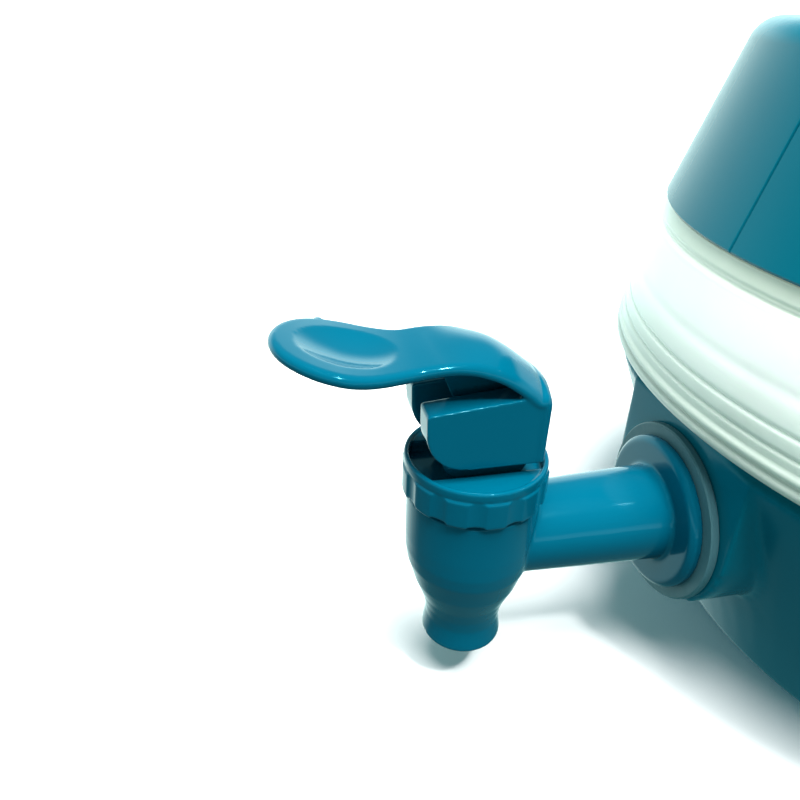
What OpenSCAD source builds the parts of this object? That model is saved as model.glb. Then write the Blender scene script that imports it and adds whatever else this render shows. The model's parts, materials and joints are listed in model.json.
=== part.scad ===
// Collapsible countertop water dispenser with a lever tap.
// Frame: Z up, the origin on the table at the middle of the base, the tap towards -Y.

/* [Base bowl] */
// Outer radius of the bowl at the table
base_foot_r = 69.4; // [64:0.1:72]
// Outer radius of the rim
base_rim_r = 93.6; // [93:0.1:96]
// Height of the rim above the table
base_h = 60.5; // [59.5:0.1:75]
// Wall of the bowl
base_wall = 2.8; // [2:0.1:3.2]
// Floor of the bowl above the foot pad
base_floor = 3; // [2:0.1:5]
// Outer radius of the collar that stands inside the rim
collar_r = 91; // [90.6:0.1:91.1]
// Height of the collar above the rim
collar_h = 2.1; // [1.5:0.1:3]
// Wall of the collar
collar_wall = 2.4; // [2:0.1:2.6]
// Depth inside the collar that takes the bellows
socket_depth = 7; // [6:0.1:7.4]

/* [Foot pad] */
// Radius of the soft pad under the base
pad_r = 62; // [50:0.5:63]
// Thickness of the soft pad
pad_t = 2.2; // [1.6:0.1:3]
// Height that the pad stands below the base
pad_proud = 0.8; // [0.4:0.1:1.2]

/* [Tap boss on the bowl] */
// Distance from the bowl's axis to the flat face
boss_y = 91.2; // [90.8:0.1:91.6]
// Half width of the flat face
boss_hw = 21; // [20:0.1:22]
// Lowest point of the round lower end
boss_low = 19.8; // [18:0.1:20]

/* [Bellows] */
// Height of the folded bellows between the rim and the cover
bellows_h = 32; // [28:0.1:40]
// Outer radius of the bead that hangs over the rim
bellows_low_r = 95.4; // [94.6:0.1:97]
// Outer radius of the bellows under the cover
bellows_top_r = 88.8; // [87:0.1:89]
// Wall of the bellows
bellows_wall = 1.6; // [1.2:0.1:2]
// Radius of the bead's round edge
bead_r = 1.2; // [1:0.1:1.5]
// Depth of the lines between the folds
fold_depth = 0.4; // [0.2:0.1:0.6]
// Travel of the cover from folded to full
extend_travel = 60; // [40:1:70]

/* [Cover] */
// Outer radius of the cover at its lower edge
cover_low_r = 89.7; // [88:0.1:94]
// Outer radius of the cover where its cone would meet the top
cover_top_r = 78.1; // [77:0.1:84]
// Height of the cover
cover_h = 37.4; // [35:0.1:50]
// Wall of the cover
cover_wall = 2.8; // [2:0.1:3]
// Radius that rounds the shoulder
shoulder_round = 6; // [4:0.1:7]
// Depth of the round recess in the top
recess_depth = 4; // [3:0.1:6]
// Radius of the round recess in the top
recess_r = 66.4; // [65.5:0.1:67]
// Height inside the lower edge that takes the bellows
cover_socket_h = 6.6; // [5:0.1:8]
// Inner radius of that socket
cover_socket_r = 85.1; // [84:0.1:85.4]

/* [Filler neck and cap] */
// Inner radius of the filler neck
neck_in_r = 33; // [28:0.1:34]
// Wall of the filler neck
neck_wall = 3; // [2:0.1:3.5]
// Height of the neck above the recess
neck_h = 11; // [10.5:0.1:13]
// Width of the flange that holds the neck under the cover
neck_flange_w = 4; // [3:0.1:6]
// Thickness of that flange
neck_flange_t = 1.6; // [1.2:0.1:2.4]
// Outer radius of the cap
cap_r = 41; // [40.8:0.1:43]
// Height of the cap's raised edge above its plate
cap_edge_h = 3.6; // [2:0.1:4]
// Thickness of the cap's plate
cap_plate = 2.8; // [2:0.1:3.5]
// Wall of the cap's skirt
cap_skirt = 2.4; // [2:0.1:2.6]
// Turn that frees the cap, in degrees
cap_turn = 60; // [50:1:70]
// Thickness of the cap's gasket
gasket_t = 1.4; // [1:0.1:2]
// Number of finger flutes round the cap
cap_flutes = 24; // [12:1:30]

/* [Vent] */
// Radius of the vent plug's stem
vent_r = 3; // [2.4:0.1:3.4]
// Radius of the vent knob
vent_knob_r = 8; // [6:0.1:10]
// Travel of the vent plug
vent_travel = 4; // [3:0.1:4]

/* [Carry handle] */
// Radius of the middle of the bow
bow_r = 54.5; // [53.5:0.1:54.6]
// Width of the bow
bow_w = 7; // [5:0.1:7.2]
// Thickness of the bow
bow_t = 6; // [4:0.1:6.4]
// Height of the hinge line above the recess
hinge_h = 5.2; // [5:0.1:7]
// Radius of the hinge studs
stud_r = 3; // [2:0.1:3.4]

/* [Tap body] */
// Distance from the bowl's axis to the tap's axis
tap_y = 135.4; // [128:0.1:150]
// Height of the shank's axis
shank_z = 38.9; // [38.5:0.1:40]
// Radius of the shank at the tap
shank_r = 8.7; // [8:0.1:9.6]
// Radius of the shank at the flange
shank_root_r = 10.1; // [9.8:0.1:11]
// Radius of the waterway through the shank
shank_bore = 6; // [5:0.1:7]
// Radius of the threaded tail
tail_r = 9.8; // [9:0.1:10]
// Radius of the flange
flange_r = 16.3; // [15.5:0.1:17.5]
// Thickness of the flange
flange_t = 2.4; // [2:0.1:3]
// Radius of the valve chamber's outside
bulb_r = 13; // [12.6:0.1:13.2]
// Radius of the waist above the spout
waist_r = 7.9; // [7.4:0.1:8.2]
// Radius of the spout's lip
spout_r = 8.5; // [8.2:0.1:9.4]
// Height of the spout's end above the table
spout_z = 13.2; // [10:0.1:15]
// Radius of the outlet
outlet_r = 5.6; // [5:0.1:6]
// Radius of the valve chamber
chamber_r = 10.3; // [10:0.1:10.6]
// Height of the valve seat
seat_z = 26.6; // [26:0.1:27.4]

/* [Tap fittings] */
// Radius of the outer gasket
gasket_r = 18.9; // [17.5:0.1:19.2]
// Thickness of the outer gasket
outer_gasket_t = 1.8; // [1.2:0.1:2.2]
// Radius of the inner washer
washer_r = 14.6; // [13.6:0.1:15]
// Thickness of the inner washer
washer_t = 1.5; // [1:0.1:2]
// Radius across the corners of the nut
nut_r = 14.6; // [13.4:0.1:15]
// Thickness of the nut
nut_t = 6; // [4:0.1:7]

/* [Bonnet] */
// Radius of the bonnet's gripping band
bonnet_r = 14; // [13.8:0.1:14.8]
// Height of the bonnet's lower edge
bonnet_z = 51; // [50.8:0.1:51.4]
// Height of the bonnet's rim
bonnet_top = 59; // [58.6:0.1:59.4]
// Height of the channel's floor under the lever
channel_z = 56; // [55.6:0.1:56.4]
// Half width of that channel
channel_hw = 6.4; // [6:0.1:6.8]
// Number of grip facets
bonnet_facets = 12; // [8:1:16]

/* [Valve] */
// Radius of the valve stem
stem_r = 2.2; // [1.8:0.1:2.6]
// Wall of the silicone seat cup
cup_wall = 0.9; // [0.7:0.1:1.2]
// Mean radius of the spring
spring_r = 4.5; // [4.4:0.05:4.7]
// Radius of the spring's wire
wire_r = 0.45; // [0.3:0.05:0.5]
// Number of turns in the spring
spring_turns = 8; // [5:1:10]

/* [Lever] */
// Height of the pin that joins the lever to the stem
pin_z = 63.2; // [63:0.1:63.6]
// Radius of the pin
pin_r = 1.4; // [1.1:0.1:1.6]
// Full press of the lever, in degrees
press_max = 28; // [20:1:28]
// Lift of the stem per radian of press
cam_rate = 5.3; // [4:0.1:5.6]
// Half width of the lever's neck
neck_hw = 8.8; // [8.2:0.1:9.4]
// Radius of the thumb pad's outline
thumb_r = 12.3; // [10:0.1:14]
// Distance from the tap's axis to the middle of the thumb pad
thumb_y = 25; // [22:0.1:27]
// Height of the top of the lever's neck
blade_z = 81.5; // [80:0.1:84]
// Thickness of the blade
blade_t = 2.4; // [2:0.1:3]
// Radius of the blade's bend over the tap
bend_r = 13.6; // [13:0.1:14]
// Radius of the upward sweep to the thumb pad
sweep_r = 52; // [45:1:80]

/* [Hidden] */
$fn = 96;

teal = "#056a80";
teal_tap = "#0a7391";

// Clearances
press_gap = 0.1;      // between pieces that stay together
slip_gap = 0.3;       // between pieces that move past each other
run_gap = 0.06;       // round a shaft in its bore
cam_gap = 0.15;       // under the lever's cam

// Heights of the tank
collar_top = base_h + collar_h;
socket_z = collar_top - socket_depth;
floor_z = pad_t + base_floor;
cover_z = collar_top + bellows_h;
cover_top = cover_z + cover_h;
recess_z = cover_top - recess_depth;
recess_under = recess_z - cover_wall;
socket_r = collar_r - collar_wall;
boss_pocket_top = socket_z - 1.5;
boss_center = boss_low + boss_hw;

// Heights of the cap
neck_top = recess_z + neck_h;
neck_r = neck_in_r + neck_wall;
lug_h = 2.4;
lug_angles = [90, 210, 330];
lug_span = cap_turn - 14;
neck_lug_z = neck_top - 5.2;
cap_lug_z = neck_lug_z - slip_gap - lug_h;
cap_low = recess_z + 1.5;
cap_plate_z = neck_top + cam_gap + gasket_t;
cap_plate_top = cap_plate_z + cap_plate;
cap_in_r = cap_r - cap_skirt;
vent_boss_h = 4.2;
vent_boss_top = cap_plate_top + vent_boss_h;
vent_bore = vent_r + slip_gap;

// Handle
hinge_z = recess_z + hinge_h;
bow_out = bow_r + bow_w / 2;
lug_x = bow_out + slip_gap;
stud_end = recess_r - 1.8;
eye_r = hinge_h - 0.5;

// Tap
gasket_y = -boss_y - outer_gasket_t;
flange_y = gasket_y - flange_t;
washer_y = -boss_y + base_wall;
nut_y = washer_y + washer_t;
tail_y = nut_y + nut_t + 2.2;
hole_r = tail_r + slip_gap;
body_top = bonnet_z + 2.4;
neck_thread_r = bulb_r - 0.9;
cup_flange_t = 1;
bonnet_under = body_top + cup_flange_t;
cup_r = chamber_r - 0.5;
plug_r = 7.2;
plug_t = 3;
stem_flange_z = seat_z + plug_t + 0.1;
stem_flange_t = 1;
head_hw = stem_r;
cam_in = head_hw + slip_gap;
cam_out = channel_hw - 1.2;
pin_hw = 4.3;
rear_y = 10.2;
rear_t = 1.8;
cheek_hw = neck_hw - 0.4;
cheek_low = bonnet_top + 1.8;
thumb_t = 3;

// Points along an arc in a plane
function arc(x, y, r, a0, a1, n = 12) =
    [for (i = [0:n]) let (a = a0 + (a1 - a0) * i / n) [x + r * cos(a), y + r * sin(a)]];

function mix(a, b, t) = a + (b - a) * t;

// Outer radius of the bowl and of the cover at a height
function bowl_r(z) = mix(base_foot_r, base_rim_r, z / base_h);
function cover_r(z) = mix(cover_low_r, cover_top_r, (z - cover_z) / cover_h);

// A flat outline in X and Z, made solid between two places along Y
module along_y(y0, y1) {
    translate([0, y1, 0]) rotate([90, 0, 0]) linear_extrude(y1 - y0) children();
}

// A flat outline in Y and Z, made solid between two places along X
module along_x(x0, x1) {
    translate([x0, 0, 0]) rotate([90, 0, 90]) linear_extrude(x1 - x0) children();
}

// A round bar or hole along Y on the shank's axis
module shank_bar(y0, y1, r0, r1) {
    translate([0, y0, shank_z]) rotate([-90, 0, 0]) cylinder(h = y1 - y0, r1 = r0, r2 = r1);
}

module shank_ring(y0, y1, r_in, r_out) {
    difference() {
        shank_bar(y0, y1, r_out, r_out);
        shank_bar(y0 - 1, y1 + 1, r_in, r_in);
    }
}

module at_tap() {
    translate([0, -tap_y, 0]) children();
}

module tube(r_in, r_out, z0, z1) {
    rotate_extrude() translate([r_in, z0]) square([r_out - r_in, z1 - z0]);
}

// A sector of a ring, centred on an angle
module ring_sector(r_in, r_out, z0, h, mid, span) {
    rotate([0, 0, mid - span / 2])
        rotate_extrude(angle = span) translate([r_in, z0]) square([r_out - r_in, h]);
}

// Outline of the flat tap boss, drawn smaller by an inset
module boss_outline(inset, top) {
    r = boss_hw - inset;
    translate([0, boss_center]) circle(r);
    translate([-r, boss_center]) square([2 * r, top - boss_center]);
}

module base_bowl() {
    foot_z = pad_proud;
    outer = concat(
        [[0, foot_z], [base_foot_r - 1, foot_z], [bowl_r(foot_z + 1.2), foot_z + 1.2]],
        arc(base_rim_r - 0.7, base_h - 0.6, 0.6, -20, 90, 5),
        [[collar_r, base_h], [collar_r, collar_top - 0.4], [collar_r - 0.4, collar_top],
         [0, collar_top]]);
    inner_r = socket_r - 1.3;
    cavity = [[0, floor_z], [bowl_r(floor_z) - base_wall - 5, floor_z],
              [bowl_r(floor_z + 4) - base_wall, floor_z + 4],
              [min(inner_r, bowl_r(socket_z) - base_wall), socket_z],
              [socket_r, socket_z], [socket_r, collar_top + 1], [0, collar_top + 1]];
    color(teal) difference() {
        union() {
            rotate_extrude($fn = 180) polygon(outer);
            along_y(-boss_y, -boss_y + 30) boss_outline(0, base_h);
        }
        rotate_extrude($fn = 180) polygon(cavity);
        along_y(-base_rim_r - 5, -boss_y) boss_outline(0, base_h + 1);
        along_y(-boss_y + base_wall, -boss_y + 40) boss_outline(base_wall, boss_pocket_top);
        shank_bar(-base_rim_r - 5, -boss_y + 10, hole_r, hole_r);
        translate([0, 0, -1]) cylinder(h = pad_t + 1, r = pad_r + press_gap);
    }
}

module foot_pad() {
    color("#2f3d42") rotate_extrude($fn = 120)
        polygon([[0, 0], [pad_r - 0.5, 0], [pad_r, 0.5], [pad_r, pad_t - press_gap],
                 [0, pad_t - press_gap]]);
}

module lower_clamp_ring() {
    r = socket_r - press_gap * 2 - bellows_wall - 0.4;
    color("#d8e4e2") tube(r - 2, r, socket_z + 0.4, collar_top - 0.4);
}

// Shares of the bellows' height at which the folds meet in a line
fold_lines = [0.09, 0.21, 0.34, 0.86];

// Radius of the outside of the bellows, from 0 above the beads to 1 under the cover
function belly_r(t) = mix(bellows_low_r - 0.8, bellows_top_r, 0.6 * t + 0.4 * t * t);

module bellows() {
    z0 = collar_top + press_gap;
    z1 = cover_z - slip_gap;
    foot_out = socket_r - press_gap;
    head_out = cover_socket_r - press_gap;
    bead_x = bellows_low_r - bead_r;
    second_z = z0 + 3 * bead_r;
    belly_z = second_z + 0.9 * bead_r;
    outer = concat(
        arc(bead_x, z0 + bead_r, bead_r, -90, 55, 8),
        arc(bead_x + 0.1, second_z, 0.8 * bead_r, -55, 60, 6),
        [for (i = [0:20]) [belly_r(i / 20), mix(belly_z, z1 - 0.4, i / 20)]]);
    inner = [for (i = [20:-1:0]) [belly_r(i / 20) - bellows_wall, mix(belly_z, z1 - bellows_wall, i / 20)]];
    color([0.93, 0.96, 0.94]) difference() {
        rotate_extrude($fn = 144) polygon(concat(
            [[foot_out - bellows_wall, socket_z + press_gap], [foot_out, socket_z + press_gap],
             [foot_out, z0]],
            outer,
            [[bellows_top_r - 0.4, z1], [head_out, z1], [head_out, cover_z + cover_socket_h - press_gap],
             [head_out - bellows_wall, cover_z + cover_socket_h - press_gap],
             [head_out - bellows_wall, z1 - bellows_wall]],
            inner,
            [[foot_out - bellows_wall, z0 + bellows_wall]]));
        for (t = fold_lines)
            translate([0, 0, mix(belly_z, z1, t)]) rotate_extrude($fn = 144)
                polygon([[belly_r(t) - fold_depth, 0], [belly_r(t) + 1, -0.9], [belly_r(t) + 1, 0.9]]);
    }
}

module top_cover() {
    tilt = atan((cover_low_r - cover_top_r) / cover_h);
    tangent = shoulder_round * tan((90 - tilt) / 2);
    corner_r = cover_top_r - tangent;
    corner_z = cover_top - shoulder_round;
    socket_top = cover_z + cover_socket_h;
    outer = concat(
        [[cover_socket_r, cover_z], [cover_low_r - 0.5, cover_z], [cover_r(cover_z + 0.5), cover_z + 0.5]],
        arc(corner_r, corner_z, shoulder_round, tilt, 90, 10),
        [[recess_r + 0.6, cover_top], [recess_r, cover_top - 0.6], [recess_r, recess_z],
         [neck_r + press_gap, recess_z], [neck_r + press_gap, recess_under],
         [recess_r + cover_wall, recess_under],
         [recess_r + cover_wall, cover_top - cover_wall]],
        arc(corner_r, corner_z, shoulder_round - cover_wall, 90, tilt, 10),
        [[min(cover_socket_r, cover_r(socket_top) - cover_wall), socket_top],
         [cover_socket_r, socket_top]]);
    color(teal) difference() {
        union() {
            rotate_extrude($fn = 180) polygon(outer);
            for (side = [0, 180]) rotate([0, 0, side]) along_x(lug_x, recess_r + 0.5) {
                translate([0, hinge_z]) circle(hinge_h + 0.8);
                translate([-hinge_h - 0.8, recess_z - 0.5]) square([2 * hinge_h + 1.6, hinge_h + 0.5]);
            }
        }
        for (side = [0, 180]) rotate([0, 0, side])
            translate([lug_x - 1, 0, hinge_z]) rotate([0, 90, 0])
                cylinder(h = stud_end + 0.4 - lug_x + 1, r = stud_r + run_gap);
    }
}

module filler_neck() {
    flange_top = recess_under - press_gap;
    flange_low = flange_top - neck_flange_t;
    color(teal) {
        rotate_extrude($fn = 144) polygon([
            [neck_in_r, flange_low], [neck_r + neck_flange_w, flange_low],
            [neck_r + neck_flange_w, flange_top], [neck_r, flange_top], [neck_r, neck_top - 0.6],
            [neck_r - 0.6, neck_top], [neck_in_r, neck_top]]);
        for (a = lug_angles)
            ring_sector(neck_r - 0.5, cap_in_r - slip_gap, neck_lug_z, lug_h, a, lug_span);
    }
}

module upper_clamp_ring() {
    r = cover_socket_r - press_gap - bellows_wall - 0.2;
    color("#d8e4e2") tube(r - 1.8, r, cover_z + 0.6, cover_z + cover_socket_h - 0.2);
}

module filler_cap() {
    edge_z = cap_plate_top + cap_edge_h;
    flute_r = 1.8;
    profile = concat(
        [[cap_in_r, cap_low], [cap_r - 0.6, cap_low], [cap_r, cap_low + 0.6]],
        arc(cap_r - 1.6, edge_z - 1.6, 1.6, 0, 90, 6),
        [[cap_r - 4.4, edge_z], [cap_r - 5.4, cap_plate_top], [vent_r + 3.6, cap_plate_top],
         [vent_r + 3.6, vent_boss_top], [vent_bore, vent_boss_top], [vent_bore, cap_plate_z],
         [cap_in_r, cap_plate_z]]);
    color(teal) difference() {
        union() {
            rotate_extrude($fn = 144) polygon(profile);
            for (a = lug_angles)
                ring_sector(neck_r + slip_gap, cap_in_r + 0.5, cap_lug_z, lug_h, a, lug_span);
        }
        for (i = [0:cap_flutes - 1]) rotate([0, 0, (i + 0.5) * 360 / cap_flutes])
            translate([cap_r + flute_r - 0.9, 0, cap_low - 1])
                cylinder(h = edge_z - cap_low - 1.6, r = flute_r, $fn = 24);
    }
}

module cap_gasket() {
    color("#e6e9e6") tube(neck_in_r - 0.8, cap_in_r - 1, cap_plate_z - gasket_t, cap_plate_z - 0.05);
}

// Heights inside the vent: the ring seals above the side hole until the plug is pulled
vent_ring_z = vent_boss_top - 1.4;
vent_hole_z = vent_ring_z - 1.7;
vent_foot_z = cap_plate_z - vent_travel - 0.3;
ring_wire = 0.6;

module vent_plug() {
    knob_z = vent_boss_top + 0.4;
    knob_h = 4.4;
    color("#f2f5f2") difference() {
        rotate_extrude() polygon(concat(
            [[0, vent_foot_z - 1.8], [vent_r, vent_foot_z - 1.8], [vent_r + 1.2, vent_foot_z - 0.6],
             [vent_r + 1.2, vent_foot_z], [vent_r, vent_foot_z], [vent_r, vent_ring_z - ring_wire],
             [vent_r - 0.9, vent_ring_z - ring_wire], [vent_r - 0.9, vent_ring_z + ring_wire],
             [vent_r, vent_ring_z + ring_wire], [vent_r, knob_z],
             [vent_knob_r - 0.6, knob_z]],
            arc(vent_knob_r - 1, knob_z + knob_h - 1, 1, 0, 90, 5),
            [[vent_knob_r - 3, knob_z + knob_h], [vent_knob_r - 3.6, knob_z + knob_h - 0.8],
             [0, knob_z + knob_h - 0.8]]));
        translate([0, 0, vent_foot_z - 3]) cylinder(h = vent_hole_z - vent_foot_z + 3, r = vent_r - 1.6);
        translate([0, 0, vent_hole_z]) rotate([0, 90, 0]) cylinder(h = vent_r * 3, r = 0.9, center = true);
    }
}

module vent_oring() {
    color("#222629") rotate_extrude() translate([vent_r - 0.35, vent_ring_z])
        circle(ring_wire - 0.05, $fn = 24);
}

module carry_handle() {
    bow_edge = 1.5;
    edge_z = bow_t / 2 - bow_edge;
    color(teal) {
        intersection() {
            translate([0, 0, hinge_z]) rotate_extrude($fn = 144) polygon(concat(
                arc(bow_out - bow_edge, edge_z, bow_edge, 0, 90, 4),
                arc(bow_out - bow_w + bow_edge, edge_z, bow_edge, 90, 180, 4),
                arc(bow_out - bow_w + bow_edge, -edge_z, bow_edge, 180, 270, 4),
                arc(bow_out - bow_edge, -edge_z, bow_edge, 270, 360, 4)));
            translate([-bow_out - 1, 0, hinge_z - bow_t]) cube([2 * bow_out + 2, bow_out + 1, 2 * bow_t]);
        }
        for (side = [0, 180]) rotate([0, 0, side]) translate([0, 0, hinge_z]) rotate([0, 90, 0]) {
            translate([0, 0, bow_out - bow_w]) cylinder(h = bow_w, r = eye_r);
            cylinder_from(bow_out - 1, stud_end, stud_r);
        }
    }
}

module cylinder_from(z0, z1, r) {
    translate([0, 0, z0]) cylinder(h = z1 - z0, r = r);
}

// Outer outline of the valve chamber, waist and spout
function tap_outline() = [
    [spout_r - 0.5, spout_z], [spout_r, spout_z + 0.5], [spout_r - 0.1, spout_z + 1.4],
    [waist_r + 0.25, spout_z + 3], [waist_r, spout_z + 5.2], [waist_r + 0.3, spout_z + 8],
    [waist_r + 1.1, spout_z + 11], [waist_r + 2.1, spout_z + 13.5], [waist_r + 3, spout_z + 15.8],
    [waist_r + 3.9, spout_z + 19], [bulb_r - 0.5, shank_z - 4.5], [bulb_r - 0.1, shank_z - 1.5],
    [bulb_r, shank_z + 2], [bulb_r, bonnet_z - 0.5], [neck_thread_r, bonnet_z - 0.5],
    [neck_thread_r, body_top]];

module tap_body() {
    chamber = [[0, seat_z - 0.4], [outlet_r + 0.7, seat_z - 0.4], [outlet_r + 1, seat_z - 0.8],
               [plug_r + 1, seat_z - 0.8], [plug_r + 1.1, seat_z + 2], [chamber_r, seat_z + 7],
               [chamber_r, body_top + 1], [0, body_top + 1]];
    color(teal_tap) difference() {
        union() {
            at_tap() rotate_extrude() polygon(concat([[0, spout_z]], tap_outline(), [[0, body_top]]));
            shank_bar(-tap_y, flange_y + 0.5, shank_r, shank_root_r);
            shank_bar(flange_y, flange_y + 0.8, flange_r - 1, flange_r);
            shank_bar(flange_y + 0.8, gasket_y, flange_r, flange_r);
            shank_bar(gasket_y - 1, tail_y, tail_r, tail_r);
        }
        at_tap() rotate_extrude() polygon(chamber);
        at_tap() translate([0, 0, spout_z - 1]) cylinder(h = seat_z - spout_z + 2, r = outlet_r);
        shank_bar(-tap_y, tail_y + 1, shank_bore, shank_bore);
    }
}

module tap_gasket() {
    bevel = 0.3;
    color("#5a7f86") translate([0, gasket_y, shank_z]) rotate([-90, 0, 0]) rotate_extrude()
        polygon([[hole_r, 0], [gasket_r - bevel, 0], [gasket_r, bevel],
                 [gasket_r, outer_gasket_t - bevel], [gasket_r - bevel, outer_gasket_t],
                 [hole_r, outer_gasket_t]]);
}

module inner_washer() {
    color("#e6e9e6") shank_ring(washer_y, nut_y, hole_r, washer_r);
}

module tap_nut() {
    color("#f2f5f2") difference() {
        translate([0, nut_y, shank_z]) rotate([-90, 0, 0]) union() {
            rotate([0, 0, 30]) cylinder(h = nut_t, r = nut_r, $fn = 6);
            cylinder(h = 1.4, r = nut_r - 0.4);
        }
        shank_bar(nut_y - 1, nut_y + nut_t + 1, tail_r + press_gap, tail_r + press_gap);
    }
}

module bonnet() {
    band_z = bonnet_top - 2;
    rim_in = bonnet_r - 1.1;
    ledge_z = bonnet_top - 0.8;
    guide_r = spring_r - wire_r - 0.45;
    facet_r = 6;
    rib_angle = -20.4;
    color(teal_tap) at_tap() difference() {
        union() {
            rotate_extrude() polygon([
                [neck_thread_r + press_gap, bonnet_z], [bonnet_r - 0.3, bonnet_z], [bonnet_r, bonnet_z + 0.4],
                [bonnet_r, band_z - 0.3], [bonnet_r - 0.5, band_z], [bonnet_r - 0.25, band_z + 0.3],
                [bonnet_r - 0.25, bonnet_top - 0.3], [bonnet_r - 0.5, bonnet_top], [rim_in, bonnet_top],
                [rim_in - 0.2, ledge_z], [0, ledge_z], [0, bonnet_under - 4],
                [guide_r, bonnet_under - 4], [guide_r, bonnet_under], [neck_thread_r + press_gap, bonnet_under]]);
            for (side = [0, 180]) rotate([0, 0, side + rib_angle])
                translate([-0.8, -bonnet_r - 0.5, bonnet_z + 0.6]) cube([1.6, 1, band_z - bonnet_z - 1]);
        }
        for (i = [0:bonnet_facets - 1]) rotate([0, 0, (i + 0.5) * 360 / bonnet_facets]) {
            translate([bonnet_r + facet_r - 0.35, 0, bonnet_z - 1])
                cylinder(h = band_z - bonnet_z + 1.05, r = facet_r, $fn = 48);
            translate([bonnet_r - 1.9, -1.7, bonnet_z - 1]) cube([3, 3.4, 1.5]);
        }
        intersection() {
            translate([-channel_hw, -bonnet_r, channel_z]) cube([2 * channel_hw, 2 * bonnet_r, 10]);
            cylinder(h = 100, r = rim_in - 0.2);
        }
        cylinder(h = 100, r = stem_r + slip_gap);
    }
}

module seat_cup() {
    waist_z = seat_z + 6.4;
    knob_r = 2.9;
    color("#eef1ee") at_tap() difference() {
        rotate_extrude() polygon([
            [0, seat_z + 0.02], [plug_r - 0.6, seat_z + 0.02], [plug_r, seat_z + 0.6],
            [plug_r + 0.2, waist_z], [cup_r, body_top - 7], [cup_r, body_top + 0.02],
            [neck_thread_r - 0.1, body_top + 0.02], [neck_thread_r - 0.1, bonnet_under - 0.02],
            [cup_r - cup_wall, bonnet_under - 0.02], [cup_r - cup_wall, body_top - 7],
            [plug_r + 0.2 - cup_wall, waist_z], [plug_r - cup_wall, seat_z + plug_t],
            [0, seat_z + plug_t]]);
        translate([0, 0, seat_z + plug_t - 2]) cylinder(h = 3, r = knob_r + 0.05);
    }
}

module valve_stem() {
    knob_r = 2.9;
    head_r = 3.6;
    color("#dfe6e4") at_tap() difference() {
        union() {
            cylinder_from(stem_flange_z - 2, stem_flange_z + 0.1, knob_r);
            cylinder_from(stem_flange_z, stem_flange_z + stem_flange_t, spring_r + wire_r + 0.3);
            cylinder_from(stem_flange_z, pin_z - 1, stem_r);
            translate([-head_hw, 0, pin_z]) rotate([0, 90, 0]) cylinder(h = 2 * head_hw, r = head_r);
        }
        translate([-head_hw - 1, 0, pin_z]) rotate([0, 90, 0]) cylinder(h = 2 * head_hw + 2, r = pin_r);
    }
}

// A wire swept along a helix, as rings of points joined by quads
module helix_wire(r, wire, z0, z1, turns) {
    sides = 8;
    steps = turns * 20;
    points = [for (i = [0:steps]) let (a = 360 * turns * i / steps, z = mix(z0, z1, i / steps))
        for (j = [0:sides - 1]) let (b = 360 * j / sides)
            [(r + wire * cos(b)) * cos(a), (r + wire * cos(b)) * sin(a), z + wire * sin(b)]];
    walls = [for (i = [0:steps - 1], j = [0:sides - 1]) let (k = (j + 1) % sides)
        [i * sides + j, (i + 1) * sides + j, (i + 1) * sides + k, i * sides + k]];
    start = [for (j = [0:sides - 1]) j];
    end = [for (j = [sides - 1:-1:0]) steps * sides + j];
    polyhedron(points = points, faces = concat([start], walls, [end]), convexity = 4);
}

module valve_spring() {
    seat = stem_flange_z + stem_flange_t;
    color("#b9bec2") at_tap()
        helix_wire(spring_r, wire_r, seat + wire_r + 0.1, bonnet_under - wire_r - 0.1, spring_turns);
}

// Side view of the blade: y from the tap's axis, z up
bend_y = rear_y - bend_r;
bend_z = blade_z - bend_r;
sweep_y = -15;
tip_y = -thumb_y - thumb_r;
sweep_a = asin((sweep_y - tip_y) / sweep_r);

function blade_side() = concat(
    [[rear_y, cheek_low]],
    arc(bend_y, bend_z, bend_r, 0, 90, 16),
    arc(sweep_y, blade_z + sweep_r, sweep_r, 270, 270 - sweep_a, 10),
    arc(sweep_y, blade_z + sweep_r, sweep_r + thumb_t, 270 - sweep_a, 270 - sweep_a / 2, 6),
    [[sweep_y + 3, blade_z - blade_t]],
    arc(bend_y, bend_z, bend_r - blade_t, 90, 0, 16),
    [[rear_y - blade_t, cheek_low]]);

// Plan of the blade: the neck runs into the round thumb pad through a fillet
module blade_plan() {
    fillet = 12;
    fillet_x = neck_hw + fillet;
    fillet_y = -thumb_y + sqrt(pow(thumb_r + fillet, 2) - pow(fillet_x, 2));
    join = atan2(fillet_y + thumb_y, fillet_x);
    side = concat(arc(fillet_x, fillet_y, fillet, 180, 180 + join, 8),
                  arc(0, -thumb_y, thumb_r, join, -90, 20));
    polygon(concat([[-neck_hw, rear_y + 1], [neck_hw, rear_y + 1]], side,
                   [for (i = [len(side) - 1:-1:0]) [-side[i][0], side[i][1]]]));
}

// Lower edge of the cam: its distance from the pin grows evenly with the press
cam_h = pin_z - channel_z - cam_gap;
function cam_point(a) =
    let (h = cam_h + cam_rate * a * PI / 180)
    [-h * sin(a) - cam_rate * cos(a), pin_z - h * cos(a) + cam_rate * sin(a)];

function cam_side() = concat(
    [[rear_y - rear_t, pin_z + 6], [rear_y - rear_t, pin_z - 3]],
    arc(rear_y - rear_t - 3, pin_z - cam_h + 3, 3, 0, -90, 6),
    [for (a = [0:2:press_max + 2]) cam_point(a)],
    [[cam_point(press_max + 2)[0] - 0.8, cam_point(press_max + 2)[1] + 0.6],
     [cam_point(press_max + 2)[0] - 0.8, pin_z + 1], [-6, pin_z + 6]]);

function cheek_side() = concat(
    arc(rear_y - 2, cheek_low + 1.5, 1.5, 0, -90, 4),
    arc(-4.5, cheek_low + 8, 8, 270, 180, 10),
    [[-12.5, cheek_low + 9.8]],
    arc(-11.5, cheek_low + 10, 1, 170, 100, 4),
    [[rear_y - 2.6, cheek_low + 14], [rear_y - 0.5, cheek_low + 12]]);

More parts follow.
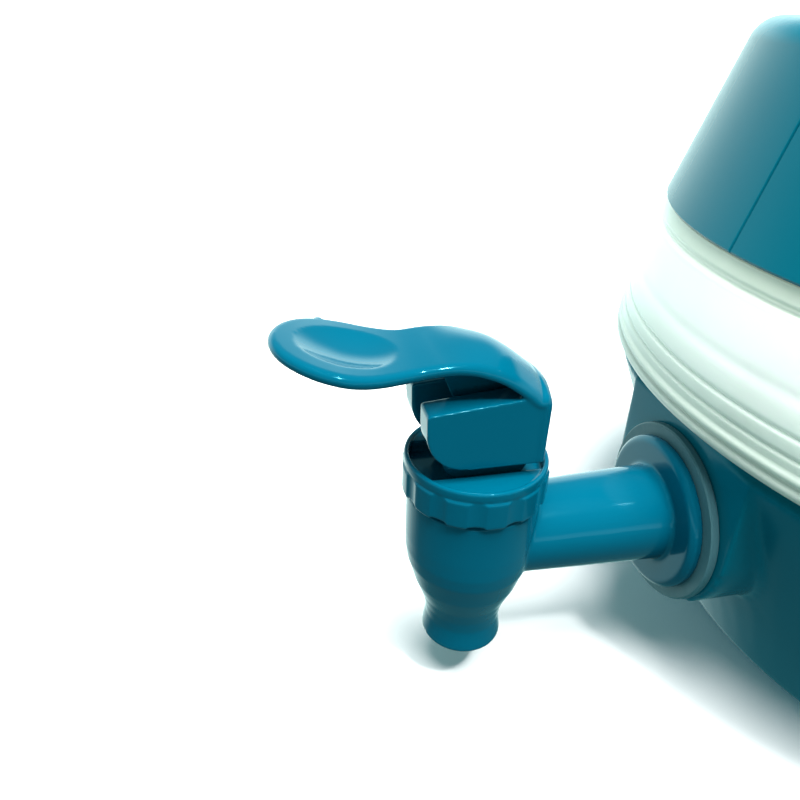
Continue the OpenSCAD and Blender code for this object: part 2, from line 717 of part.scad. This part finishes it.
module lever() {
    web_hw = 1.1;
    dish_r = 31;
    dish_depth = 1.1;
    dish_tilt = sweep_a * 0.45;
    color(teal_tap) at_tap() difference() {
        union() {
            intersection() {
                along_x(-20, 20) polygon(blade_side());
                linear_extrude(200) blade_plan();
            }
            for (side = [0, 1]) mirror([side, 0, 0]) {
                along_x(cam_out - 0.6, cheek_hw) polygon(cheek_side());
                along_x(cam_in, cam_out) polygon(cam_side());
            }
            along_x(-web_hw, web_hw) polygon([
                [-13.5, blade_z - blade_t + 0.3], [-5, pin_z + 8.2], [rear_y - rear_t, pin_z + 8.2],
                [bend_y + bend_r * 0.6, bend_z + bend_r * 0.62], [bend_y, blade_z - blade_t + 0.3]]);
        }
        translate([0, sweep_y, blade_z + sweep_r]) rotate([-dish_tilt - 6, 0, 0])
            translate([0, 0, -sweep_r - dish_depth + dish_r]) sphere(r = dish_r, $fn = 120);
        translate([-pin_hw - 0.2, 0, pin_z]) rotate([0, 90, 0])
            cylinder(h = 2 * pin_hw + 0.4, r = pin_r + run_gap);
    }
}

module lever_pin() {
    color("#c9ced1") at_tap() translate([-pin_hw, 0, pin_z]) rotate([0, 90, 0])
        cylinder(h = 2 * pin_hw, r = pin_r - 0.01);
}

base_bowl();
foot_pad();
lower_clamp_ring();
bellows();
top_cover();
filler_neck();
upper_clamp_ring();
filler_cap();
cap_gasket();
vent_plug();
vent_oring();
carry_handle();
tap_body();
tap_gasket();
inner_washer();
tap_nut();
bonnet();
seat_cup();
valve_stem();
valve_spring();
lever();
lever_pin();
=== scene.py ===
import json
import math

import bmesh
import bpy
from mathutils import Matrix, Vector


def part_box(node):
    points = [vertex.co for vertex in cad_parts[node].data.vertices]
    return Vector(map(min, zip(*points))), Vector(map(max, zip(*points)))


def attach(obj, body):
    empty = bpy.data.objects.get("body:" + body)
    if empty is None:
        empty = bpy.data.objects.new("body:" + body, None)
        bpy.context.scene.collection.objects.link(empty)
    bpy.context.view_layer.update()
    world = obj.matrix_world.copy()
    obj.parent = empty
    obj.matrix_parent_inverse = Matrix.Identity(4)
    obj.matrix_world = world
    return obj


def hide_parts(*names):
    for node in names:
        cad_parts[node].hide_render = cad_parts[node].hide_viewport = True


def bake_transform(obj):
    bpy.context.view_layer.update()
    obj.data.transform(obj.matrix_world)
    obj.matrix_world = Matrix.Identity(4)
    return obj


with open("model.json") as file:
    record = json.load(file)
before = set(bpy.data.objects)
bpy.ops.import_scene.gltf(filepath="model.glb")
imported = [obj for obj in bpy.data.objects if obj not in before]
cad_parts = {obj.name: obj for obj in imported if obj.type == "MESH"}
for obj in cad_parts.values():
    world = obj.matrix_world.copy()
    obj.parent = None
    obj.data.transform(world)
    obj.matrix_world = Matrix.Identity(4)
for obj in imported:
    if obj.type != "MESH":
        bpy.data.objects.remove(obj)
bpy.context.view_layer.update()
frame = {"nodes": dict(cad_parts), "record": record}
NODES = frame["nodes"]
MM = 0.001
HEIGHT_SHARE = "height_share"     # how far up the folded bellows a point lies, from 0 to 1


# ---------------------------------------------------------------- camera, floor and light

CAMERA_PLACE = (0.10658, -0.17512, 0.13442)
CAMERA_AZIMUTH, CAMERA_PITCH, CAMERA_ROLL = 77.0, 29.85, 1.61
CAMERA_LENS = 32.05               # on a sensor 36 mm wide


def make_camera():
    azimuth, pitch, roll = (math.radians(a) for a in (CAMERA_AZIMUTH, CAMERA_PITCH, CAMERA_ROLL))
    flat = math.cos(pitch)
    look = Vector((-math.sin(azimuth) * flat, math.cos(azimuth) * flat, -math.sin(pitch)))
    right = look.cross(Vector((0, 0, 1))).normalized()
    up = right.cross(look)
    right, up = (right * math.cos(roll) + up * math.sin(roll), up * math.cos(roll) - right * math.sin(roll))
    camera = bpy.data.objects.new("camera", bpy.data.cameras.new("camera"))
    bpy.context.collection.objects.link(camera)
    turn = Matrix((right, up, -look)).transposed().to_4x4()
    camera.matrix_world = Matrix.Translation(CAMERA_PLACE) @ turn
    camera.data.lens = CAMERA_LENS
    camera.data.clip_start = 0.005
    bpy.context.scene.camera = camera


def aim(light, direction):
    light.rotation_mode = "QUATERNION"
    light.rotation_quaternion = Vector(direction).to_track_quat("-Z", "Y")


def sun(name, direction, strength, spread):
    light = bpy.data.objects.new(name, bpy.data.lights.new(name, "SUN"))
    bpy.context.collection.objects.link(light)
    light.data.energy = strength
    light.data.angle = math.radians(spread)
    light.visible_glossy = False
    aim(light, direction)


def window(name, place, target, size, power):
    light = bpy.data.objects.new(name, bpy.data.lights.new(name, "AREA"))
    bpy.context.collection.objects.link(light)
    light.data.shape = "RECTANGLE"
    light.data.size, light.data.size_y = size
    light.data.energy = power
    light.location = place
    aim(light, Vector(target) - Vector(place))


def set_ramp(ramp, stops):
    elements = ramp.color_ramp.elements
    for _ in stops[len(elements):]:
        elements.new(0.5)
    for element, (place, color) in zip(elements, stops):
        element.position = place
        element.color = (*color, 1)


def world_step(nodes, name, start, end):
    """A smooth rise from 0 to 1 between two values of a direction's coordinate."""
    step = nodes.new("ShaderNodeMapRange")
    step.name = name
    step.interpolation_type = "SMOOTHSTEP"
    step.inputs["From Min"].default_value = start
    step.inputs["From Max"].default_value = end
    return step


def make_studio():
    """A dim room with a bright horizon and backdrop, a broad light overhead and a small window."""
    world = bpy.data.worlds.new("studio")
    bpy.context.scene.world = world
    world.use_nodes = True
    background = world.node_tree.nodes["Background"]
    background.inputs["Strength"].default_value = 1.0
    nodes, links = world.node_tree.nodes, world.node_tree.links
    place = nodes.new("ShaderNodeTexCoord")
    split = nodes.new("ShaderNodeSeparateXYZ")
    ramp = nodes.new("ShaderNodeValToRGB")
    below, horizon, above = (0.1, 0.32, 0.34), (1.25, 1.35, 1.33), (0.16, 0.32, 0.34)
    stops = [(-0.06, below), (-0.03, horizon), (0.06, horizon), (0.16, above)]
    set_ramp(ramp, [((height + 1) / 2, color) for height, color in stops])
    share = nodes.new("ShaderNodeMapRange")
    share.inputs["From Min"].default_value = -1.0
    links.new(place.outputs["Generated"], split.inputs["Vector"])
    links.new(split.outputs["Z"], share.inputs["Value"])
    links.new(share.outputs["Result"], ramp.inputs["Fac"])
    links.new(split.outputs["X"], world_step(nodes, "behind", -0.3, -0.9).inputs["Value"])
    links.new(split.outputs["Z"], world_step(nodes, "low", 0.5, 0.2).inputs["Value"])
    backdrop = nodes.new("ShaderNodeMath")
    backdrop.operation = "MULTIPLY"
    links.new(nodes["behind"].outputs["Result"], backdrop.inputs[0])
    links.new(nodes["low"].outputs["Result"], backdrop.inputs[1])
    blend = nodes.new("ShaderNodeMix")
    blend.data_type = "RGBA"
    links.new(backdrop.outputs["Value"], blend.inputs[0])
    links.new(ramp.outputs["Color"], blend.inputs[6])
    blend.inputs[7].default_value = (1.35, 1.8, 1.75, 1)
    links.new(blend.outputs[2], background.inputs["Color"])
    sun("overhead", (-0.2, -0.05, -1.0), 7.5, 40)
    window("side_window", (0.34, 0.0, 0.66), (0.0, -0.12, 0.04), (0.05, 0.05), 3.0)
    bpy.context.scene.view_settings.view_transform = "Standard"


def make_floor():
    mesh = bpy.data.meshes.new("floor")
    half = 60.0
    corners = [(-half, -half, 0), (half, -half, 0), (half, half, 0), (-half, half, 0)]
    mesh.from_pydata(corners, [], [(0, 1, 2, 3)])
    floor = bpy.data.objects.new("floor", mesh)
    bpy.context.collection.objects.link(floor)
    material = bpy.data.materials.new("floor")
    material.use_nodes = True
    shader = material.node_tree.nodes["Principled BSDF"]
    shader.inputs["Base Color"].default_value = (0.95, 0.96, 0.95, 1)
    shader.inputs["Roughness"].default_value = 0.7
    mesh.materials.append(material)
    floor.visible_diffuse = False
    floor.visible_glossy = False


# ---------------------------------------------------------------- materials

def moulded(name, color, deep, roughness, coat=0.0, pits=0.02, pit_scale=900.0, tint=None, shine=0.4):
    """Moulded plastic: faint colour drift, fine pitting and a gloss that varies a little."""
    material = bpy.data.materials.new(name)
    material.use_nodes = True
    nodes, links = material.node_tree.nodes, material.node_tree.links
    shader = nodes["Principled BSDF"]
    place = nodes.new("ShaderNodeTexCoord")
    drift = nodes.new("ShaderNodeTexNoise")
    drift.inputs["Scale"].default_value = 22.0
    drift.inputs["Detail"].default_value = 3.0
    ramp = nodes.new("ShaderNodeValToRGB")
    set_ramp(ramp, [(0.3, deep), (0.7, color)])
    fine = nodes.new("ShaderNodeTexNoise")
    fine.inputs["Scale"].default_value = pit_scale
    fine.inputs["Detail"].default_value = 4.0
    spread = nodes.new("ShaderNodeMapRange")
    spread.inputs["To Min"].default_value = roughness * 0.8
    spread.inputs["To Max"].default_value = roughness * 1.25
    bump = nodes.new("ShaderNodeBump")
    bump.inputs["Strength"].default_value = pits
    bump.inputs["Distance"].default_value = 0.0002
    links.new(place.outputs["Object"], drift.inputs["Vector"])
    links.new(place.outputs["Object"], fine.inputs["Vector"])
    links.new(drift.outputs["Fac"], ramp.inputs["Fac"])
    links.new(ramp.outputs["Color"], shader.inputs["Base Color"])
    links.new(fine.outputs["Fac"], spread.inputs["Value"])
    links.new(spread.outputs["Result"], shader.inputs["Roughness"])
    links.new(fine.outputs["Fac"], bump.inputs["Height"])
    links.new(bump.outputs["Normal"], shader.inputs["Normal"])
    shader.inputs["Coat Weight"].default_value = coat
    shader.inputs["Coat Roughness"].default_value = 0.06
    shader.inputs["Specular IOR Level"].default_value = shine
    if tint:
        shader.inputs["Specular Tint"].default_value = (*tint, 1)
    return material


def metal(name):
    material = moulded(name, (0.55, 0.56, 0.57), (0.45, 0.46, 0.47), 0.25, 0, 0.1, 300)
    material.node_tree.nodes["Principled BSDF"].inputs["Metallic"].default_value = 1.0
    return material


def milky(name):
    """Soft natural plastic: milky, with painted shade that darkens it in bands near the rim and under the
    cover, and a painted glow in the same colour.
    """
    material = moulded(name, (0.97, 0.98, 0.95), (0.9, 0.92, 0.88), 0.16, 0.3, 0.02, 300)
    nodes, links = material.node_tree.nodes, material.node_tree.links
    shader = nodes["Principled BSDF"]
    height = nodes.new("ShaderNodeAttribute")
    height.attribute_name = HEIGHT_SHARE
    # painted shade: darker bands low on the bellows over the rim and high up under the cover, placed by the
    # height share
    shade = nodes.new("ShaderNodeValToRGB")
    set_ramp(shade, [(0.0, (0.34, 0.4, 0.36)), (0.16, (0.44, 0.51, 0.46)), (0.34, (0.66, 0.73, 0.67)),
                     (0.5, (0.9, 0.93, 0.87)), (0.8, (0.9, 0.93, 0.86)), (0.88, (0.66, 0.71, 0.62)),
                     (1.0, (0.52, 0.57, 0.48))])
    tone_and_painted_shade = nodes.new("ShaderNodeMix")
    tone_and_painted_shade.data_type = "RGBA"
    tone_and_painted_shade.blend_type = "MULTIPLY"
    tone_and_painted_shade.inputs[0].default_value = 1.0
    drift = shader.inputs["Base Color"].links[0].from_socket
    links.new(height.outputs["Fac"], shade.inputs["Fac"])
    links.new(drift, tone_and_painted_shade.inputs[6])
    links.new(shade.outputs["Color"], tone_and_painted_shade.inputs[7])
    links.new(tone_and_painted_shade.outputs[2], shader.inputs["Base Color"])
    # painted glow: the skin emits its own shaded colour (strength 0.3 below) to brighten it, though it is no
    # lamp
    links.new(tone_and_painted_shade.outputs[2], shader.inputs["Emission Color"])
    shader.inputs["Subsurface Weight"].default_value = 0.6
    shader.inputs["Subsurface Radius"].default_value = (1.0, 1.2, 1.0)
    shader.inputs["Subsurface Scale"].default_value = 0.003
    shader.inputs["Emission Strength"].default_value = 0.3
    return material


def make_materials():
    tint = (0.15, 0.85, 1.0)
    return {
        "teal_shell": moulded("teal_shell", (0.0, 0.14, 0.2), (0.0, 0.127, 0.182), 0.2,
                              tint=tint, shine=0.25),
        "teal_tap": moulded("teal_tap", (0.0, 0.088, 0.145), (0.0, 0.08, 0.132), 0.12, 0.1, 0.01, tint=tint),
        "bellows_skin": milky("bellows_skin"),
        "ring_plastic": moulded("ring_plastic", (0.7, 0.76, 0.75), (0.64, 0.7, 0.69), 0.35),
        "foot_rubber": moulded("foot_rubber", (0.02, 0.03, 0.035), (0.012, 0.02, 0.024), 0.7, 0, 0.3),
        "grey_gasket": moulded("grey_gasket", (0.09, 0.2, 0.23), (0.05, 0.14, 0.16), 0.5, 0, 0.25, 420),
        "white_silicone": moulded("white_silicone", (0.8, 0.82, 0.8), (0.74, 0.76, 0.74), 0.5, 0, 0.1),
        "white_plastic": moulded("white_plastic", (0.82, 0.84, 0.83), (0.77, 0.79, 0.78), 0.3),
        "black_rubber": moulded("black_rubber", (0.012, 0.012, 0.014), (0.008, 0.008, 0.01), 0.45),
        "steel": metal("steel"),
    }


def paint(obj, material):
    obj.data.materials.clear()
    obj.data.materials.append(material)


# ---------------------------------------------------------------- mesh helpers

def mix(a, b, t):
    return a + (b - a) * t


def smoothstep(a, b, x):
    t = min(max((x - a) / (b - a), 0.0), 1.0)
    return t * t * (3 - 2 * t)


def arc(x, y, r, a0, a1, n):
    angles = [math.radians(mix(a0, a1, i / n)) for i in range(n + 1)]
    return [(x + r * math.cos(a), y + r * math.sin(a)) for a in angles]


def smooth(obj):
    for face in obj.data.polygons:
        face.use_smooth = True


def object_from(name, points, faces, material):
    mesh = bpy.data.meshes.new(name)
    mesh.from_pydata([tuple(c * MM for c in p) for p in points], [], faces)
    mesh.update()
    obj = bpy.data.objects.new(name, mesh)
    bpy.context.collection.objects.link(obj)
    mesh.materials.append(material)
    smooth(obj)
    return obj


def revolve(name, outline, material, segments=256):
    """A closed outline of (radius, height) turned round the Z axis."""
    n = len(outline)
    points = []
    for i in range(segments):
        a = 2 * math.pi * i / segments
        points += [(r * math.cos(a), r * math.sin(a), z) for r, z in outline]
    faces = []
    for i in range(segments):
        j = (i + 1) % segments
        faces += [(i * n + k, j * n + k, j * n + (k + 1) % n, i * n + (k + 1) % n) for k in range(n)]
    return object_from(name, points, faces, material)


def apply_modifiers(obj):
    graph = bpy.context.evaluated_depsgraph_get()
    mesh = bpy.data.meshes.new_from_object(obj.evaluated_get(graph))
    obj.modifiers.clear()
    obj.data = mesh


def crisp(obj):
    """Smooth shading that stops at the edges."""
    if "custom_normal" in obj.data.attributes:
        obj.data.attributes.remove(obj.data.attributes["custom_normal"])
    smooth(obj)
    obj.data.set_sharp_from_angle(angle=math.radians(25))


def melt(obj, voxel, rounds, material):
    """Fuse overlapping closed shells into one skin and soften its edges, as a moulding's are."""
    remesh = obj.modifiers.new("fuse", "REMESH")
    remesh.mode = "VOXEL"
    remesh.voxel_size = voxel * MM
    remesh.use_smooth_shade = True
    soften = obj.modifiers.new("soften", "SMOOTH")
    soften.factor = 0.5
    soften.iterations = rounds
    apply_modifiers(obj)
    paint(obj, material)
    smooth(obj)


def stand_for(piece, node):
    """Let a finished piece take the place and the body of a CAD node, and hide the node."""
    body = next(b for b, names in frame["record"]["behaviour"]["bodies"].items() if node in names)
    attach(piece, body)
    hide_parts(node)


def copy_of(node, name):
    piece = bpy.data.objects.new(name, NODES[node].data.copy())
    bpy.context.collection.objects.link(piece)
    return piece


def softened_copy(node, voxel, rounds):
    piece = copy_of(node, node + "_moulding")
    melt(piece, voxel, rounds, MATERIALS[SLOTS[node]])
    stand_for(piece, node)


def extrude_x(outline, x0, x1):
    """Points and faces of an outline in Y and Z, made solid between two places along X."""
    n = len(outline)
    points = [(x0, y, z) for y, z in outline] + [(x1, y, z) for y, z in outline]
    faces = [tuple(range(n)), tuple(range(2 * n - 1, n - 1, -1))]
    faces += [(i, n + i, n + (i + 1) % n, (i + 1) % n) for i in range(n)]
    return points, faces


def join_shells(name, shells, material):
    points, faces = [], []
    for shell_points, shell_faces in shells:
        start = len(points)
        points += shell_points
        faces += [tuple(start + i for i in face) for face in shell_faces]
    piece = object_from(name, points, faces, material)
    fix = bmesh.new()
    fix.from_mesh(piece.data)
    bmesh.ops.recalc_face_normals(fix, faces=fix.faces)
    fix.to_mesh(piece.data)
    fix.free()
    return piece


def spline(knots, x):
    """Height of a smooth curve through knots that are ordered along x."""
    i = max(k for k in range(len(knots) - 1) if knots[k][0] <= x or k == 0)
    (x1, y1), (x2, y2) = knots[i], knots[i + 1]
    x0, y0 = knots[i - 1] if i else (2 * x1 - x2, 2 * y1 - y2)
    x3, y3 = knots[i + 2] if i + 2 < len(knots) else (2 * x2 - x1, 2 * y2 - y1)
    t = min(max((x - x1) / (x2 - x1), 0.0), 1.0)
    m1 = (y2 - y0) / (x2 - x0) * (x2 - x1)
    m2 = (y3 - y1) / (x3 - x1) * (x2 - x1)
    return ((2 * t ** 3 - 3 * t ** 2 + 1) * y1 + (t ** 3 - 2 * t ** 2 + t) * m1
            + (3 * t ** 2 - 2 * t ** 3) * y2 + (t ** 3 - t ** 2) * m2)


# ---------------------------------------------------------------- lever

THUMB_Y, THUMB_R = -25.4, 11.8    # middle and radius of the thumb pad, from the tap's axis
NECK_HW = 8.7                     # half width of the neck and of the hood
REAR_Y = 10.3                     # outer face of the hood's rear wall
SHEET = 2.3                       # thickness of the lever's sheet
HOOD_LOW = 61.0                   # height of the hood's lower edge
CHEEK_IN = 3.1                    # inner face of a cheek
CAM_IN, CAM_OUT = 2.6, 5.2        # faces of a cam
CAM_LOW, CAM_HIGH = 56.2, 66.0    # heights of a cam
WEB_HW = 1.1                      # half width of the web under the hood


def lever_half_width(y):
    if y < THUMB_Y:
        return math.sqrt(max(THUMB_R ** 2 - (y - THUMB_Y) ** 2, 0.0))
    return NECK_HW + (THUMB_R - NECK_HW) * smoothstep(-12.5, THUMB_Y, y)


def lever_spine():
    """Side view of the sheet's outer face along its edge: (y, z, crown) from the tip to the hood's foot."""
    back = [(-38, 85.9), (-33, 84.9), (-29, 83.9), (-25, 82.9), (-20, 82.0), (-15, 81.7), (-10, 82.1),
            (-6.5, 82.0), (-3, 81.2), (1.8, 79.1), (6.5, 75.7), (8.2, 74.1)]
    places = [THUMB_Y - THUMB_R * math.sin(math.radians(a)) for a in range(89, 0, -4)]
    places += [mix(THUMB_Y, 8.2, i / 70) for i in range(71)]
    spine = [(y, spline(back, y), 2.3 * smoothstep(-10, 1, y)) for y in places]
    bend = arc(REAR_Y - 3.4, 71.8, 3.4, 42, 0, 8)
    spine += [(y, z, mix(2.0, 0.7, i / 8)) for i, (y, z) in enumerate(bend)]
    spine += [(REAR_Y, mix(71.0, HOOD_LOW, i / 24), 0.7 * (1 - i / 24)) for i in range(25)]
    return spine


def lever_sheet():
    spine = lever_spine()
    across = [math.sin(math.pi / 2 * mix(-1, 1, j / 48)) for j in range(49)]
    outer, inner = [], []
    for i, (y, z, crown) in enumerate(spine):
        y0, z0, _ = spine[max(i - 1, 0)]
        y1, z1, _ = spine[min(i + 1, len(spine) - 1)]
        run = math.hypot(y1 - y0, z1 - z0)
        normal = (-(z1 - z0) / run, (y1 - y0) / run)
        half = max(lever_half_width(y), 0.3)
        for v in across:
            x = v * half
            if y < THUMB_Y:
                depth = THUMB_R - math.hypot(x, y - THUMB_Y)
            else:
                depth = half - abs(x)
            r = SHEET / 2
            swell = math.sqrt(max(r * r - max(r - depth, 0.0) ** 2, 0.0))
            dish = max(0.0, 1 - (x / 7.7) ** 2 - ((y + 24.6) / 8.6) ** 2)
            lift = crown * (1 - v * v) - r
            for sheet, n in ((outer, lift + swell - 1.5 * dish), (inner, lift - swell - 0.9 * dish)):
                sheet.append((x, y + n * normal[0], z + n * normal[1]))
    rows, cols = len(spine), len(across)
    points = outer + inner
    half = rows * cols
    faces = []
    for i in range(rows - 1):
        for j in range(cols - 1):
            a, b, c, d = i * cols + j, i * cols + j + 1, (i + 1) * cols + j + 1, (i + 1) * cols + j
            faces += [(a, b, c, d), (half + d, half + c, half + b, half + a)]
        for j in (0, cols - 1):
            a, d = i * cols + j, (i + 1) * cols + j
            faces.append((a, d, half + d, half + a))
    for i in (0, rows - 1):
        faces += [(i * cols + j, i * cols + j + 1, half + i * cols + j + 1, half + i * cols + j)
                  for j in range(cols - 1)]
    return points, faces


def make_lever():
    low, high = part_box("bonnet")
    tap_y = (low[1] + high[1]) / 2 / MM
    cheek = (arc(REAR_Y - 1.8, HOOD_LOW + 1.2, 1.2, 0, -90, 4) + arc(-4.3, HOOD_LOW + 7.8, 7.8, 270, 180, 12)
             + arc(-11.6, 72.2, 0.6, 180, 100, 3) + [(6.2, 74.6), (REAR_Y - 0.9, 71.6)])
    web = [(-12.5, 80.4), (-8, 77), (-5.5, 71.4), (REAR_Y - 2, 70), (REAR_Y - 2.2, 72),
           (5, 76), (0, 79), (-6, 81)]
    shells = [lever_sheet(), extrude_x(web, -WEB_HW, WEB_HW)]
    cam = arc(REAR_Y - 4.9, CAM_LOW + 3, 3, 0, -90, 6) + arc(-3.0, CAM_LOW + 5.2, 5.2, 270, 200, 8)
    cam += [(-7.5, CAM_HIGH), (REAR_Y - 1.9, CAM_HIGH)]
    for side in (-1, 1):
        shells.append(extrude_x(cheek, side * CHEEK_IN, side * (NECK_HW - 0.2)))
        shells.append(extrude_x(cam, side * CAM_IN, side * CAM_OUT))
    nib = [(THUMB_Y - 3.6, 82.6), (THUMB_Y - 1.8, 82.3), (THUMB_Y - 2.0, 83.5), (THUMB_Y - 3.2, 83.7)]
    shells.append(extrude_x(nib, -THUMB_R + 0.1, -THUMB_R + 1.6))
    shells = [([(x, y + tap_y, z) for x, y, z in points], faces) for points, faces in shells]
    lever = join_shells("lever_moulding", shells, MATERIALS["teal_tap"])
    melt(lever, 0.25, 5, MATERIALS["teal_tap"])
    stand_for(lever, "lever")


# ---------------------------------------------------------------- bellows

RIM_GAP, COVER_GAP = 0.1, 0.3     # clearance over the rim and under the cover
BEAD_X, BEAD_R = 94.15, 1.25      # middle and radius of the bead that hangs over the rim
FOLD_X, FOLD_R = 94.3, 0.95       # middle and radius of the small fold above it
BELLY_Z = 4.7                     # height of the smooth wall's start above the rim
BELLY_R, BELLY_TOP_R = 94.6, 88.9
SOCKET_R, HEAD_R = 88.5, 85.0     # the skin's outside in the base and in the cover
SKIN = 1.6
FOLD_LINES = [(0.075, 0.35, 0.35), (0.2, 0.45, 0.4), (0.42, 0.12, 1.2), (0.845, 0.5, 0.45),
              (0.875, 0.3, 0.35)]  # share of the wall's height, depth and width of each line


def fold_outline(low, high):
    """Outside of the folded bellows as (radius, height), from the rim up to the cover."""
    base = low + RIM_GAP
    belly = base + BELLY_Z
    top = high - COVER_GAP
    outline = arc(BEAD_X, base + BEAD_R, BEAD_R, -90, 62, 12)
    outline += arc(FOLD_X, base + 3.55, FOLD_R, -62, 55, 10)
    steps = 160
    for i in range(steps + 1):
        t = i / steps
        r = mix(BELLY_R, BELLY_TOP_R, 0.55 * t + 0.45 * t * t)
        for place, depth, width in FOLD_LINES:
            r -= depth * math.exp(-((t - place) * (top - belly) / width) ** 2)
        outline.append((r, mix(belly, top, t)))
    return outline


def make_bellows():
    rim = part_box("base_bowl")[1][2] / MM
    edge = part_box("top_cover")[0][2] / MM
    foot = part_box("bellows")[0][2] / MM
    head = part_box("bellows")[1][2] / MM
    outer = fold_outline(rim, edge)
    inner = [(r - 1.5, z + (0.8 if z < rim + 4 else 0)) for r, z in outer[::-1] if rim + 1.4 < z < edge - 1.6]
    outline = ([(SOCKET_R - SKIN, foot), (SOCKET_R, foot), (SOCKET_R, rim + RIM_GAP)] + outer
               + [(HEAD_R, edge - COVER_GAP), (HEAD_R, head), (HEAD_R - SKIN, head)]
               + [(HEAD_R - SKIN, edge - 1.8)] + inner + [(SOCKET_R - SKIN, rim + 1.7)])
    bellows = revolve("bellows_skin", outline, MATERIALS["bellows_skin"], 320)
    # the height share places the painted shade bands and the painted glow in the bellows skin
    share = bellows.data.attributes.new(HEIGHT_SHARE, "FLOAT", "POINT")
    share.data.foreach_set("value", [(v.co.z / MM - rim) / (edge - rim) for v in bellows.data.vertices])
    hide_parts("bellows")
    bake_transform(bellows)


# ---------------------------------------------------------------- valve

def stretched_copy(node):
    """A copy of a valve piece in its slot's material, put in place of the CAD node, which is hidden."""
    piece = copy_of(node, node + "_flexing")
    paint(piece, MATERIALS[SLOTS[node]])
    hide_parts(node)
    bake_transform(piece)


# ---------------------------------------------------------------- cover

SEAM_X = -3.0                     # the seam's distance from the plane through both axes
SEAM_WIDTH, SEAM_DEPTH = 0.6, 0.5
SEAM_HEIGHT = 33.0                # length of the seam up the cone
CONE_TILT = 17.2                  # lean of the cover's wall, in degrees


def make_cover():
    """The cover with the moulding seam that runs down its cone above the tap."""
    low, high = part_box("top_cover")
    low_r, low_z = high[0] / MM, low[2] / MM
    slope = math.tan(math.radians(CONE_TILT))
    top_z = low_z + SEAM_HEIGHT
    facing = math.atan2(-math.sqrt(low_r ** 2 - SEAM_X ** 2), SEAM_X)

    def at(r, side, z):
        x = r * math.cos(facing) - side * math.sin(facing)
        y = r * math.sin(facing) + side * math.cos(facing)
        return (x, y, z)

    half = SEAM_WIDTH / 2
    rows = [(low_z - 1, low_r + slope), (top_z, low_r - slope * SEAM_HEIGHT)]
    points = []
    for z, r in rows:
        points += [at(r - SEAM_DEPTH, 0, z), at(r + 1, half * 3, z), at(r + 1, -half * 3, z)]
    faces = [(0, 2, 1), (3, 4, 5), (0, 1, 4, 3), (1, 2, 5, 4), (2, 0, 3, 5)]
    cutter = join_shells("seam_cutter", [(points, faces)], MATERIALS["teal_shell"])
    cover = copy_of("top_cover", "cover_moulding")
    cut = cover.modifiers.new("seam", "BOOLEAN")
    cut.object = cutter
    cut.operation = "DIFFERENCE"
    cut.solver = "EXACT"
    apply_modifiers(cover)
    bpy.data.objects.remove(cutter)
    crisp(cover)
    paint(cover, MATERIALS["teal_shell"])
    stand_for(cover, "top_cover")


make_camera()
make_studio()
make_floor()
MATERIALS = make_materials()
SLOTS = {row["node"]: row["material_slot"] for row in frame["record"]["subparts"]}
for node, slot in SLOTS.items():
    paint(NODES[node], MATERIALS[slot])

softened_copy("bonnet", 0.22, 4)
softened_copy("tap_body", 0.35, 4)
softened_copy("base_bowl", 0.8, 4)
softened_copy("filler_cap", 0.45, 3)
softened_copy("carry_handle", 0.4, 3)
make_lever()
make_bellows()
make_cover()
stretched_copy("valve_spring")
stretched_copy("seat_cup")
